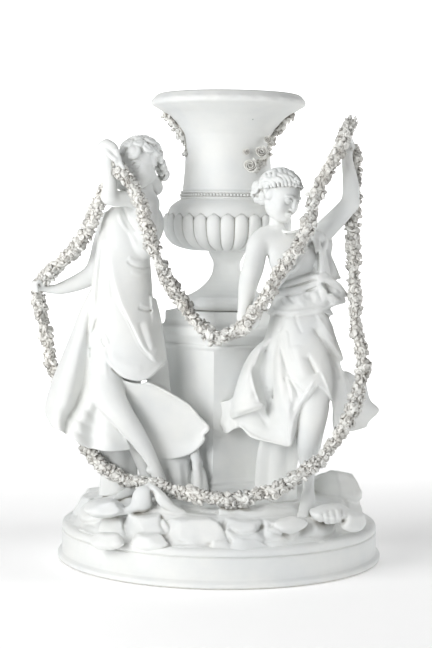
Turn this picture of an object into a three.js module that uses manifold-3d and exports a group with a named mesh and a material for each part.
// Bisque centrepiece: two dancers carrying flower ropes round a hexagonal pedestal with an urn on it.
// Millimetres, +Z up, origin at the middle of the base's underside. The viewer stands at -Y.

import * as THREE from 'three';
import { mergeVertices } from 'three/addons/utils/BufferGeometryUtils.js';
import Module from 'manifold-3d';

const wasm = await Module();
wasm.setup();

// Driving sizes
const BASE_RADIUS = 135;
const DRUM_RADIUS = 131.5;
const FLANGE_HEIGHT = 6;
const GROOVE_HEIGHT = 24;
const RIM_HEIGHT = 30;
const GROUND_HEIGHT = 56;
const BASE_SECTORS = 32;
const AXIS_X = 4;
const PEDESTAL_CORNER = 54;
const PEDESTAL_TURN = 10.5;
const PEDESTAL_TOP = 206;
const FACE_HOLLOW = 1.2;
const VASE_FOOT = 206.4;
const GADROONS = 28;
const GADROON_DEPTH = 2.2;
const GARLAND_RADIUS = 6;
const GARLAND_STEP = 13;
const GARLAND_SIDES = 6;
const SEAT_GAP = 0.6;
const CLEARANCE = 0.5;

// Basic shapes

function meshFrom(points, faces) {
  const geometry = new THREE.BufferGeometry();
  const numbers = points.flatMap((p) => [p.x, p.y, p.z]);
  geometry.setAttribute('position', new THREE.Float32BufferAttribute(numbers, 3));
  geometry.setIndex(faces.flat());
  return geometry;
}

function middleOf(ring) {
  const middle = new THREE.Vector3();
  ring.forEach((point) => middle.addScaledVector(point, 1 / ring.length));
  return middle;
}

// Moves an end ring away from its neighbour, for copies that are a little larger all round.
function pushOut(ring, neighbour, distance) {
  const outward = middleOf(ring).sub(middleOf(neighbour)).normalize();
  ring.forEach((point) => point.addScaledVector(outward, distance));
}

// Faces between two rings of points. One ring may have twice as many points as the other.
function bridge(from, fromCount, to, toCount) {
  const faces = [];
  const steps = Math.min(fromCount, toCount);
  for (let j = 0; j < steps; j++) {
    const k = (j + 1) % steps;
    if (fromCount === toCount) {
      faces.push([from + j, from + k, to + k], [from + j, to + k, to + j]);
    } else if (toCount > fromCount) {
      const middle = to + 2 * j + 1;
      faces.push([from + j, middle, to + 2 * j], [from + j, from + k, middle], [from + k, to + 2 * k, middle]);
    } else {
      const middle = from + 2 * j + 1;
      faces.push([from + 2 * j, middle, to + j], [middle, to + k, to + j], [middle, from + 2 * k, to + k]);
    }
  }
  return faces;
}

// A skin over rings, closed by fans at both ends or joined end to end.
function skin(rings, grow = 0, joined = false) {
  const last = rings.length - 1;
  if (grow > 0 && !joined) {
    pushOut(rings[0], rings[1], grow);
    pushOut(rings[last], rings[last - 1], grow);
  }
  const starts = [];
  rings.reduce((start, ring) => {
    starts.push(start);
    return start + ring.length;
  }, 0);
  const points = rings.flat();
  const faces = [];
  for (let i = 0; i < last + (joined ? 1 : 0); i++) {
    const next = (i + 1) % rings.length;
    faces.push(...bridge(starts[i], rings[i].length, starts[next], rings[next].length));
  }
  if (!joined) {
    for (const end of [0, last]) {
      const count = rings[end].length;
      const hub = points.push(middleOf(rings[end])) - 1;
      for (let j = 0; j < count; j++) {
        const a = starts[end] + j;
        const b = starts[end] + ((j + 1) % count);
        faces.push(end === 0 ? [a, hub, b] : [a, b, hub]);
      }
    }
  }
  return meshFrom(points, faces);
}

function enclosedVolume(positions, faces) {
  const corners = [new THREE.Vector3(), new THREE.Vector3(), new THREE.Vector3()];
  let volume = 0;
  for (let i = 0; i < faces.length; i += 3) {
    corners.forEach((corner, k) => corner.fromArray(positions, 3 * faces[i + k]));
    volume += corners[0].dot(corners[1].cross(corners[2])) / 6;
  }
  return volume;
}

// A solid with its faces pointing out, whichever way round the geometry was made.
function solidOf(geometry) {
  const bare = geometry.clone();
  bare.deleteAttribute('normal');
  bare.deleteAttribute('uv');
  const merged = mergeVertices(bare, 1e-4);
  const vertProperties = new Float32Array(merged.attributes.position.array);
  const triVerts = new Uint32Array(merged.index.array);
  if (enclosedVolume(vertProperties, triVerts) < 0) triVerts.reverse();
  return new wasm.Manifold(new wasm.Mesh({ numProp: 3, vertProperties, triVerts }));
}

function join(geometries) {
  return geometries.map(solidOf).reduce((whole, piece) => whole.add(piece));
}

// Keeps the biggest body, so that a crumb left by a cut goes away.
function biggest(solid) {
  const bodies = solid.decompose();
  return bodies.reduce((best, body) => (body.volume() > best.volume() ? body : best));
}

// A tube through stations [x, y, z, radius] with a ring at each of them.
function limb(stations, sides = 10, grow = 0) {
  const centres = stations.map(([x, y, z]) => new THREE.Vector3(x, y, z));
  const last = centres.length - 1;
  let side = new THREE.Vector3(1, 0.13, 0.07);
  const rings = centres.map((centre, i) => {
    const before = centres[Math.max(i - 1, 0)];
    const after = centres[Math.min(i + 1, last)];
    const along = after.clone().sub(before).normalize();
    if (i === 0 && Math.abs(along.x) > 0.8) side = new THREE.Vector3(0.1, 1, 0.2);
    side = side.clone().addScaledVector(along, -side.dot(along)).normalize();
    const up = new THREE.Vector3().crossVectors(along, side);
    const radius = stations[i][3] + grow;
    const ring = [];
    for (let j = 0; j < sides; j++) {
      const angle = (2 * Math.PI * j) / sides;
      const point = centre.clone();
      point.addScaledVector(side, radius * Math.cos(angle));
      point.addScaledVector(up, radius * Math.sin(angle));
      ring.push(point);
    }
    return ring;
  });
  return skin(rings, grow);
}

function blob([x, y, z], [rx, ry, rz], across = 8, down = 6, grow = 0) {
  const geometry = new THREE.SphereGeometry(1, across, down);
  geometry.scale(rx + grow, ry + grow, rz + grow);
  geometry.translate(x, y, z);
  return geometry;
}

// Hanging cloth over stations [x, y, z, half width, half depth]. The folds deepen toward the hem, the hem
// leans by `lean` (rise per mm to the left), and a cavity leaves the underside open like a real skirt.
function drape(stations, cloth, grow = 0) {
  const { sides = 30, folds = 0, depth = 0, phase = 0, twist = 0, lean = 0, yaw = 0, cavity = 0 } = cloth;
  const turn = THREE.MathUtils.degToRad(yaw);
  const steps = stations.length - 1;
  const ringAt = (station, fall, shrink, lift) => {
    const [cx, cy, z, halfWidth, halfDepth] = station;
    const ring = [];
    for (let j = 0; j < sides; j++) {
      const angle = (2 * Math.PI * j) / sides;
      const fold = 1 + depth * fall * Math.cos(folds * angle + phase + twist * fall);
      const u = (halfWidth + grow - shrink) * fold * Math.cos(angle);
      const v = (halfDepth + grow - shrink) * fold * Math.sin(angle);
      const dx = u * Math.cos(turn) - v * Math.sin(turn);
      const dy = u * Math.sin(turn) + v * Math.cos(turn);
      ring.push(new THREE.Vector3(cx + dx, cy + dy, z + lift - lean * fall * fall * dx));
    }
    return ring;
  };
  const rings = stations.map((station, i) => ringAt(station, i / steps, 0, 0));
  if (cavity > 0 && grow === 0) {
    const hem = stations[steps];
    rings.push(ringAt(hem, 1, 3, 0));
    rings.push(ringAt(hem, 1, 8, cavity));
  }
  return skin(rings, grow);
}

// Blown cloth over stations [x, top, bottom, y, half thickness, camber], with upright sections.
function sail(stations, sides = 12, grow = 0) {
  const rings = stations.map(([x, top, bottom, y, thickness, camber]) => {
    const middle = (top + bottom) / 2;
    const half = (top - bottom) / 2 + grow;
    const ring = [];
    for (let j = 0; j < sides; j++) {
      const angle = (2 * Math.PI * j) / sides;
      const rise = Math.cos(angle);
      const bulge = camber * (1 - rise * rise);
      const out = (thickness + grow) * Math.sin(angle);
      ring.push(new THREE.Vector3(x, y - bulge + out, middle + half * rise));
    }
    return ring;
  });
  return skin(rings, grow);
}

// A closed roll of cloth round the body: an ellipse [centre, half width, half depth, rise to the right].
function roll([cx, cy, cz], halfWidth, halfDepth, rise, radius, steps = 20, sides = 6, grow = 0) {
  const rings = [];
  for (let i = 0; i < steps; i++) {
    const angle = (2 * Math.PI * i) / steps;
    const outward = new THREE.Vector3(Math.cos(angle), Math.sin(angle), 0);
    const x = halfWidth * Math.cos(angle);
    const centre = new THREE.Vector3(cx + x, cy + halfDepth * Math.sin(angle), cz + rise * x);
    const ring = [];
    for (let j = 0; j < sides; j++) {
      const turn = (2 * Math.PI * j) / sides;
      const point = centre.clone().addScaledVector(outward, (radius + grow) * Math.cos(turn));
      point.z += (radius + grow) * Math.sin(turn);
      ring.push(point);
    }
    rings.push(ring);
  }
  return skin(rings, grow, true);
}

// Base: drum, rocky ground, boulders, mound and the curled leaf

function smooth(edge0, edge1, value) {
  const t = Math.min(Math.max((value - edge0) / (edge1 - edge0), 0), 1);
  return t * t * (3 - 2 * t);
}

function groundHeight(x, y) {
  const radius = Math.hypot(x, y);
  const angle = Math.atan2(y, x);
  const bank = smooth(BASE_RADIUS - 6, BASE_RADIUS - 40, radius);
  const ripple = 1.6 * Math.sin(5 * angle + 1) + 1.1 * Math.cos(9 * angle + radius / 14);
  const rough = smooth(64, 80, radius);
  const moundReach = Math.hypot(x - 97, y - 14) / 27;
  const mound = 12 * Math.max(0, 1 - moundReach * moundReach);
  return RIM_HEIGHT + (GROUND_HEIGHT - RIM_HEIGHT) * bank + ripple * bank * rough + mound;
}

function drumAndGround() {
  const drumProfile = [
    [BASE_RADIUS - 0.5, 0],
    [BASE_RADIUS, FLANGE_HEIGHT - 1.2],
    [DRUM_RADIUS, FLANGE_HEIGHT],
    [DRUM_RADIUS, GROOVE_HEIGHT - 0.8],
    [DRUM_RADIUS - 1.2, GROOVE_HEIGHT],
    [DRUM_RADIUS, GROOVE_HEIGHT + 0.8],
    [DRUM_RADIUS - 1.5, RIM_HEIGHT],
  ];
  const groundRadii = [124, 114, 100, 66];
  const ringOf = (radius, heightAt) => {
    const ring = [];
    for (let j = 0; j < BASE_SECTORS; j++) {
      const angle = (2 * Math.PI * j) / BASE_SECTORS;
      const x = radius * Math.cos(angle);
      const y = radius * Math.sin(angle);
      ring.push(new THREE.Vector3(x, y, heightAt(x, y)));
    }
    return ring;
  };
  const drum = drumProfile.map(([radius, height]) => ringOf(radius, () => height));
  const ground = groundRadii.map((radius) => ringOf(radius, groundHeight));
  return skin([...drum, ...ground]);
}

function boulders() {
  const count = 15;
  const stones = [];
  for (let i = 0; i < count; i++) {
    const angle = THREE.MathUtils.degToRad(-176 + (360 * i) / count);
    const reach = 112 + 2.5 * Math.sin(i * 2.4);
    const x = reach * Math.cos(angle);
    const y = reach * Math.sin(angle);
    const width = 17.5 + 3 * Math.sin(i * 1.7 + 1);
    const stone = new THREE.SphereGeometry(1, 5, 4);
    stone.scale(width + 1.5, 13, 12);
    stone.rotateZ(angle + Math.PI / 2);
    stone.translate(x, y, 38 + 1.5 * Math.cos(i * 1.9));
    stones.push(stone);
  }
  return stones;
}

function curledLeaf() {
  const foot = [[-69, -96], [-46, -101], [-27, -98], [-44, -88], [-58, -86], [-70, -89]];
  const apex = [-55.5, -87, 72.5];
  const levels = [[48, 0], [56, 0.3], [64, 0.62], [70, 0.9], [72.5, 0.97]];
  const rings = levels.map(([height, pull]) => foot.map(([x, y]) => {
    const px = x + (apex[0] - x) * pull;
    const py = y + (apex[1] - y) * pull;
    return new THREE.Vector3(px, py, height);
  }));
  return skin(rings);
}

function baseSolid() {
  return join([drumAndGround(), ...boulders(), curledLeaf()]);
}

// Pedestal

function hexagonRing(corner, height) {
  const ring = [];
  const apothem = corner * Math.cos(Math.PI / 6) - FACE_HOLLOW;
  for (let i = 0; i < 6; i++) {
    const angle = THREE.MathUtils.degToRad(-90 - PEDESTAL_TURN + 60 * i);
    const between = angle + Math.PI / 6;
    const cornerX = AXIS_X + corner * Math.cos(angle);
    const middleX = AXIS_X + apothem * Math.cos(between);
    ring.push(new THREE.Vector3(cornerX, corner * Math.sin(angle), height));
    ring.push(new THREE.Vector3(middleX, apothem * Math.sin(between), height));
  }
  return ring;
}

function pedestalGeometry(grow = 0) {
  const corner = PEDESTAL_CORNER + grow;
  const levels = [
    [corner + 4, GROUND_HEIGHT + SEAT_GAP - grow],
    [corner + 4, 65],
    [corner + 1.6, 67.5],
    [corner + 1.2, 71],
    [corner, 72.5],
    [corner, 176],
    [corner + 2.4, 177.5],
    [corner + 2.4, 180],
    [corner + 5.2, 186],
    [corner + 5.2, 194],
    [corner, 197.5],
    [corner, PEDESTAL_TOP + grow],
  ];
  return skin(levels.map(([radius, height]) => hexagonRing(radius, height)));
}

// Vase: one skin from the bowl's floor up the inside, over the lip and down to the foot

function turnedRing(radius, height, count = GADROONS) {
  const ring = [];
  for (let j = 0; j < count; j++) {
    const angle = (2 * Math.PI * j) / count;
    ring.push(new THREE.Vector3(radius * Math.cos(angle), radius * Math.sin(angle), height));
  }
  return ring;
}

// A ring of the bowl with a round lobe and a groove for each gadroon
function lobedRing(radius, height, groove) {
  const ring = [];
  for (let j = 0; j < 2 * GADROONS; j++) {
    const angle = (Math.PI * j) / GADROONS;
    const reach = radius - (j % 2) * groove;
    ring.push(new THREE.Vector3(reach * Math.cos(angle), reach * Math.sin(angle), height));
  }
  return ring;
}

function vaseSkin() {
  const inside = [[30, 267], [43.5, 276], [44, 287], [32.5, 301], [31.4, 333], [33.2, 351], [51, 372]];
  const lip = [[53.5, 384], [61, 380.5], [63.6, 373]];
  const neck = [
    [54.9, 369.6], [43.3, 360.5], [36.6, 349.8], [35.6, 333.4], [37.3, 304.2], [39.6, 302.8], [39.6, 300],
    [38.8, 297.5], [46.5, 292],
  ];
  const bowl = [[49.8, 286, 1.4], [51, 279, GADROON_DEPTH], [48, 265.5, GADROON_DEPTH]];
  const under = turnedRing(32, 258.5);
  const stem = [
    [15.5, 255.5], [11.4, 243], [15, 231], [23.1, 223.1], [34, 217], [35.2, VASE_FOOT],
  ];
  return skin([
    ...inside.map(([radius, height]) => turnedRing(radius, height, GADROONS / 2)),
    ...[...lip, ...neck].map(([radius, height]) => turnedRing(radius, height)),
    ...bowl.map(([radius, height, groove]) => lobedRing(radius, height, groove)),
    under,
    ...stem.map(([radius, height]) => turnedRing(radius, height, GADROONS / 2)),
  ]);
}

function sprayPath(side) {
  const start = side < 0 ? 184 : -4;
  const end = side < 0 ? 196 : -52;
  const points = [];
  const steps = 7;
  for (let i = 0; i <= steps; i++) {
    const t = i / steps;
    const angle = THREE.MathUtils.degToRad(start + (end - start) * t * t);
    const height = 367 - (side < 0 ? 34 : 44) * t;
    const wall = 35.5 + 21 * Math.pow(Math.max(0, (height - 342) / 28), 1.6);
    points.push([wall * Math.cos(angle), wall * Math.sin(angle), height, 3.4 + 1.6 * (i % 2)]);
  }
  return points;
}

function vaseSolid() {
  const roses = [blob([25, -27, 324], [5, 5, 5], 6, 4), blob([31.5, -21, 331], [4.5, 4.5, 4.5], 6, 4)];
  return join([vaseSkin(), limb(sprayPath(-1), 5), limb(sprayPath(1), 5), ...roses]);
}

// Left dancer, three-quarter view to the left, her near arm raised across her face

function head(centre, facing, tilt, grow) {
  const [x, y, z] = centre;
  const skull = blob([0, 0, 0], [15, 17, 18.5], 8, 6, grow);
  const jaw = blob([0, -4.5, -9], [10, 10.5, 10.5], 6, 5, grow);
  const nose = new THREE.ConeGeometry(2.6 + grow, 8, 4);
  nose.rotateX(-0.25);
  nose.translate(0, -17.6, -4.5);
  const shapes = [skull, jaw, nose];
  for (const shape of shapes) {
    shape.rotateX(tilt);
    shape.rotateZ(facing);
    shape.translate(x, y, z);
  }
  return shapes;
}

// A cap of loose curls over the back and top of a head: a ball with a lumpy surface
function hair([x, y, z], facing, radius, grow) {
  const geometry = new THREE.SphereGeometry(1, 12, 7);
  const point = new THREE.Vector3();
  const place = geometry.attributes.position;
  for (let i = 0; i < place.count; i++) {
    point.fromBufferAttribute(place, i);
    const around = Math.atan2(point.z, point.x);
    const lump = 0.07 * Math.cos(6 * around) * Math.cos(7 * Math.acos(point.y));
    point.multiplyScalar((radius + grow) * (1 + lump));
    place.setXYZ(i, point.x, point.y, point.z);
  }
  geometry.rotateX(-0.9);
  geometry.rotateZ(facing);
  geometry.translate(x, y, z);
  return geometry;
}

const LEFT_HAND_HIGH = [-84, -81, 329];
const LEFT_HAND_LOW = [-149, -44, 226.5];
const RIGHT_HAND_LOW = [20.5, -84, 198.5];
const RIGHT_HAND_HIGH = [101, -45, 345];

function dancerLeft(grow = 0) {
  const torso = [
    [-61, -55, 295, 7, 7], [-68, -51, 288, 25, 10], [-71, -50, 277, 29, 13], [-71, -50, 262, 25, 14],
    [-75, -50, 244, 14, 11],
  ];
  const tunic = [
    [-81, -45, 287, 9, 9], [-78, -47, 277, 17, 14], [-76, -50, 264, 19, 17], [-77.5, -51, 243, 21.5, 18],
    [-80, -52, 216, 25.5, 20], [-80, -54, 192, 29, 22.5], [-80, -55, 174, 33.5, 24], [-82, -55, 160, 33, 24.5],
  ];
  const skirt = [
    [-77, -50, 245, 19, 16], [-83, -51, 216, 24, 19], [-88, -52, 192, 27, 21], [-94, -52, 168, 30, 23],
    [-105, -51, 136, 32.5, 25], [-105, -50, 115, 33, 26], [-101, -50, 101, 32, 25],
  ];
  const panel = [
    [-84, 158, 118, -52, 5, 3], [-66, 153, 98, -56, 5, 7], [-45, 145.6, 90, -58, 4.5, 8],
    [-33, 138.5, 90.6, -61, 4, 7], [-21, 127, 97, -64, 3.5, 5], [-13, 119, 107, -66, 2.5, 2],
    [-10, 116.5, 113.5, -66, 1, 0],
  ];
  const armHigh = [
    [-55, -61, 284, 9], [-66, -68, 288, 8], [-80, -76, 293.5, 7.4], [-88, -80, 298, 7], [-91, -79, 306, 6.6],
    [-93, -77, 320, 5.6], [-93.5, -76, 333, 4.6],
  ];
  const handHigh = [[-93.5, -76, 333, 4.6], [-92.5, -76, 340, 5], [-88, -79, 340, 4.6], [-84, -81, 334, 4.4]];
  const armLow = [
    [-92, -34, 278, 8], [-97, -31, 262, 7.8], [-101, -31, 245, 7.8], [-109, -34, 234.5, 7.4],
    [-118, -36, 229.5, 6.4], [-128, -38, 226.5, 5.2], [-140, -41, 225.5, 4.2],
  ];
  const frontLeg = [
    [-85, -68, 156, 11], [-88, -73.5, 140, 9.8], [-76, -71, 119, 8.8], [-63, -67, 95, 6.6], [-51, -62, 74, 4.7],
    [-48, -62, 62, 5.2],
  ];
  const frontFoot = [[-47, -59, 60, 5.4], [-50, -68, 59, 5], [-55, -78, 56, 3.6]];
  const backLeg = [[-76, -48, 132, 9], [-68, -43, 104, 7.4], [-62, -42, 80, 5], [-60.5, -42, 70, 4.8]];
  const backFoot = [[-59.5, -42, 69, 4.6], [-68, -50, 64, 4.8], [-79, -60, 58.5, 3.4]];
  const trail = [[-38, -48, 112, 9, 6], [-33, -46, 92, 12, 6.5], [-31, -45, 74, 13, 7], [-31, -45, 54, 14, 8]];
  const tube = [[-22, -58, 106, 5], [-18.5, -56, 88, 6], [-17, -54, 70, 6.4], [-17, -54, 52, 7]];
  const neck = [[-59, -55, 290, 7], [-62, -57, 300, 6.2], [-63, -58, 312, 6.4]];
  const skull = [-62.5, -60, 327];
  return join([
    drape(torso, { sides: 10, yaw: -39 }, grow),
    drape(tunic, { sides: 20, folds: 5, depth: 0.05, phase: 1, twist: 1.2, lean: 0.15, cavity: 6 }, grow),
    drape(skirt, { sides: 28, folds: 7, depth: 0.12, phase: 0.4, twist: -1, lean: 0.2, cavity: 26 }, grow),
    sail(panel, 10, grow),
    limb(armHigh, 6, grow),
    limb(handHigh, 6, grow),
    blob(LEFT_HAND_HIGH, [6.5, 6, 8], 6, 4, grow),
    limb(armLow, 6, grow),
    blob(LEFT_HAND_LOW, [8, 6.5, 6.5], 6, 4, grow),
    limb(frontLeg, 7, grow),
    limb(frontFoot, 6, grow),
    limb(backLeg, 5, grow),
    limb(backFoot, 6, grow),
    drape(trail, { sides: 10, folds: 3, depth: 0.14 }, grow),
    limb(tube, 6, grow),
    limb(neck, 7, grow),
    ...head(skull, THREE.MathUtils.degToRad(-52), 0.35, grow),
    hair([-59.5, -56.5, 331], THREE.MathUtils.degToRad(-52), 17.3, grow),
  ]);
}

// Right dancer, three-quarter view to the right, her far arm raised

function dancerRight(grow = 0) {
  const torso = [
    [42, -59, 273, 7, 7], [51, -58, 268, 23, 9], [55, -57.5, 261, 25.5, 12], [57, -58, 247, 22, 14.5],
    [60, -59, 232, 18, 13],
    [62, -59, 220, 14, 11],
  ];
  const mantle = [
    [79, -50, 270, 6, 6], [77, -53, 262, 11, 10], [72, -56, 252, 13, 13], [75, -57, 240, 16, 14],
    [73, -58, 231, 14, 15], [78, -58, 221, 19, 16], [74, -59, 213, 15, 14],
  ];
  const peplum = [[61, -59, 224, 19, 15], [62, -59, 215, 22, 18], [63, -59, 206, 26, 21]];
  const skirt = [
    [62, -59, 220, 19, 16], [63, -60, 205, 23, 19], [63, -61, 190, 25, 21], [66, -62, 170, 28, 23],
    [68, -63, 152, 25, 23], [70, -63, 141, 22, 22],
  ];
  const skirtLeft = [
    [52, -62, 208, 11, 12], [46, -64, 187, 14, 13], [43.5, -65, 168, 18.5, 13], [40, -66, 150, 24, 12.5],
    [30, -67, 135, 32, 11], [29, -67, 122, 29, 11], [38, -67, 112, 19, 12], [43, -67, 104, 12, 10],
  ];
  const skirtRight = [
    [77, -52, 202, 9, 11], [84, -50, 172, 12, 12], [88, -49, 152, 16, 11], [98, -48, 137, 23, 9],
    [104, -48, 129, 24, 8], [101, -48, 121, 15, 7], [94, -48, 113, 6, 5],
  ];
  const armLow = [
    [33, -66, 262, 9], [27, -70, 250, 8], [21, -74, 234, 7], [19, -76, 226, 6.6], [18.5, -80, 214, 5.6],
    [19.5, -83, 205, 4.8],
  ];
  const armHigh = [
    [76, -48, 264, 9], [88, -48, 277, 8.2], [99, -50, 288, 7.2], [103.5, -50, 295, 6.8],
    [103.5, -48, 306, 6.6], [100.5, -46, 322, 5.4], [99, -46, 334, 4.6], [100, -45, 340, 5],
  ];
  const frontLeg = [
    [71, -74, 165, 12.5], [73.5, -79, 148, 11], [73, -79, 130, 10], [71.5, -76, 110, 9.6],
    [70, -73, 90, 7.2], [69.3, -71, 72, 5.4], [69, -70, 58, 5.8],
  ];
  const frontFoot = [[69.5, -66, 55, 5.6], [69, -75, 52, 6], [67.5, -86, 45, 5.6], [66.5, -92, 42, 3.8]];
  const backLeg = [[66, -54, 140, 10], [60, -50, 106, 8], [56, -48, 78, 5.6], [55, -47, 56, 6]];
  const trail = [[48, -54, 118, 11, 8], [45, -53, 98, 14, 8], [43, -52, 78, 15.5, 8], [43, -52, 54, 16.5, 9]];
  const neck = [[42, -59, 268, 7], [43, -60, 279, 6], [43.5, -61, 290, 6.2]];
  const skull = [44, -61, 303];
  const bun = [blob([31, -55, 304], [8.5, 8.5, 10], 6, 4, grow)];
  return join([
    drape(torso, { sides: 10, yaw: 30 }, grow),
    drape(mantle, { sides: 10, folds: 3, depth: 0.06 }, grow),
    roll([61.5, -59, 225], 19.5, 16.5, 0.25, 4, 12, 5, grow),
    drape(peplum, { sides: 16, folds: 4, depth: 0.08 }, grow),
    drape(skirt, { sides: 20, folds: 5, depth: 0.08, phase: 0.6, twist: 2, cavity: 10 }, grow),
    drape(skirtLeft, { sides: 18, folds: 4, depth: 0.12, phase: 1.4, twist: 1.5, cavity: 18 }, grow),
    drape(skirtRight, { sides: 14, folds: 4, depth: 0.12, phase: 0.3, twist: -1 }, grow),
    limb(armLow, 6, grow),
    blob(RIGHT_HAND_LOW, [7, 6.5, 7.5], 6, 4, grow),
    limb(armHigh, 6, grow),
    blob(RIGHT_HAND_HIGH, [6.5, 6.5, 8], 6, 4, grow),
    limb(frontLeg, 7, grow),
    limb(frontFoot, 6, grow),
    limb(backLeg, 5, grow),
    drape(trail, { sides: 10, folds: 3, depth: 0.14 }, grow),
    limb(neck, 7, grow),
    ...head(skull, THREE.MathUtils.degToRad(38), 0.3, grow),
    hair([41.5, -57.5, 306.5], THREE.MathUtils.degToRad(38), 17, grow),
    ...bun,
  ]);
}

// Garlands: bumpy ropes of flowers along hand-laid routes

const SWAG_ROUTE = [
  LEFT_HAND_HIGH, [-81, -87, 319], [-68.4, -87, 303], [-61.5, -84, 280], [-55.2, -80, 258.7],
  [-44, -78, 236], [-29.7, -76, 214.2], [-17, -76, 196.2], [-1.9, -78, 188.6], [12, -83, 194],
  RIGHT_HAND_LOW,
];
const RAISED_ROUTE = [
  RIGHT_HAND_LOW, [27, -90, 210], [41.2, -90, 233.5], [61.3, -87, 264], [74.6, -76, 297],
  [85.1, -66, 318.4], [94.8, -58, 339.2], [100.7, -52, 354], [103, -49, 360],
];
const OUTER_ROUTE = [
  RIGHT_HAND_HIGH, [106, -38, 330], [106, -36, 303.3], [104, -46, 273.7], [105, -58, 242],
  [106, -66, 210.5], [107.5, -70, 195], [111.7, -78, 168], [107, -84, 145], [103, -87, 133],
  [91.3, -90, 112], [78, -92, 94], [68, -94, 86.5], [51, -97, 75.5], [27.5, -98, 66.5], [4, -98, 63],
  [-19.4, -92, 65], [-38, -79, 67.5], [-56, -71, 71], [-79, -52, 71], [-99, -40, 84], [-118, -24, 108],
  [-127, -19, 132.5], [-136, -22, 153], [-143.5, -27, 185], LEFT_HAND_LOW,
];
const SIDE_ROUTE = [
  LEFT_HAND_LOW, [-132.4, -50, 242.5], [-113.5, -57, 261], [-103, -63, 280], [-96.5, -63, 297],
  [-89.5, -63, 310], [-87, -70, 323], LEFT_HAND_HIGH,
];

function garland(route, grow = 0) {
  const curve = new THREE.CatmullRomCurve3(route.map(([x, y, z]) => new THREE.Vector3(x, y, z)));
  const steps = Math.round(curve.getLength() / GARLAND_STEP);
  const stations = [];
  for (let i = 0; i <= steps; i++) {
    const { x, y, z } = curve.getPointAt(i / steps);
    const radius = GARLAND_RADIUS + 0.9 * Math.cos(i * Math.PI) + 0.4 * Math.sin(i * 2.1);
    stations.push([x, y, z, radius]);
  }
  return solidOf(limb(stations, GARLAND_SIDES, grow));
}

// Scene graph

const BISQUE = new THREE.MeshStandardMaterial({ color: 0xe9ebea, roughness: 0.72, metalness: 0 });
const FLOWERS = new THREE.MeshStandardMaterial({ color: 0xe6e2d8, roughness: 0.8, metalness: 0 });

function meshOf(name, solid, material) {
  const { vertProperties, triVerts, numProp } = solid.getMesh();
  const geometry = new THREE.BufferGeometry();
  const positions = new Float32Array((vertProperties.length / numProp) * 3);
  for (let i = 0; i < positions.length / 3; i++) {
    for (let k = 0; k < 3; k++) positions[3 * i + k] = vertProperties[numProp * i + k];
  }
  geometry.setAttribute('position', new THREE.BufferAttribute(positions, 3));
  geometry.setIndex(new THREE.BufferAttribute(new Uint32Array(triVerts), 1));
  geometry.computeVertexNormals();
  const mesh = new THREE.Mesh(geometry, material);
  mesh.name = name;
  return mesh;
}

const base = baseSolid();
const ground = base.translate([0, 0, SEAT_GAP]);
const pedestal = solidOf(pedestalGeometry());
const pedestalSpace = solidOf(pedestalGeometry(CLEARANCE));
const vase = vaseSolid().translate([AXIS_X, 0, 0]);
const left = dancerLeft().subtract(pedestalSpace).subtract(ground);
const right = dancerRight().subtract(pedestalSpace).subtract(ground);

const figureSpace = dancerLeft(CLEARANCE).add(dancerRight(CLEARANCE)).add(pedestalSpace).add(ground);
const swag = biggest(garland(SWAG_ROUTE).subtract(figureSpace));
const raised = biggest(garland(RAISED_ROUTE).subtract(figureSpace).subtract(garland(SWAG_ROUTE, CLEARANCE)));
const outer = biggest(garland(OUTER_ROUTE).subtract(figureSpace).subtract(garland(RAISED_ROUTE, CLEARANCE)));
const side = biggest(garland(SIDE_ROUTE).subtract(figureSpace)
  .subtract(garland(SWAG_ROUTE, CLEARANCE)).subtract(garland(OUTER_ROUTE, CLEARANCE)));

const centrepiece = new THREE.Group();
centrepiece.add(meshOf('base', base, BISQUE));
centrepiece.add(meshOf('pedestal', pedestal, BISQUE));
centrepiece.add(meshOf('vase', biggest(vase), BISQUE));
centrepiece.add(meshOf('dancer_left', biggest(left), BISQUE));
centrepiece.add(meshOf('dancer_right', biggest(right), BISQUE));
centrepiece.add(meshOf('garland_swag', swag, FLOWERS));
centrepiece.add(meshOf('garland_raised', raised, FLOWERS));
centrepiece.add(meshOf('garland_outer', outer, FLOWERS));
centrepiece.add(meshOf('garland_side', side, FLOWERS));

export default centrepiece;
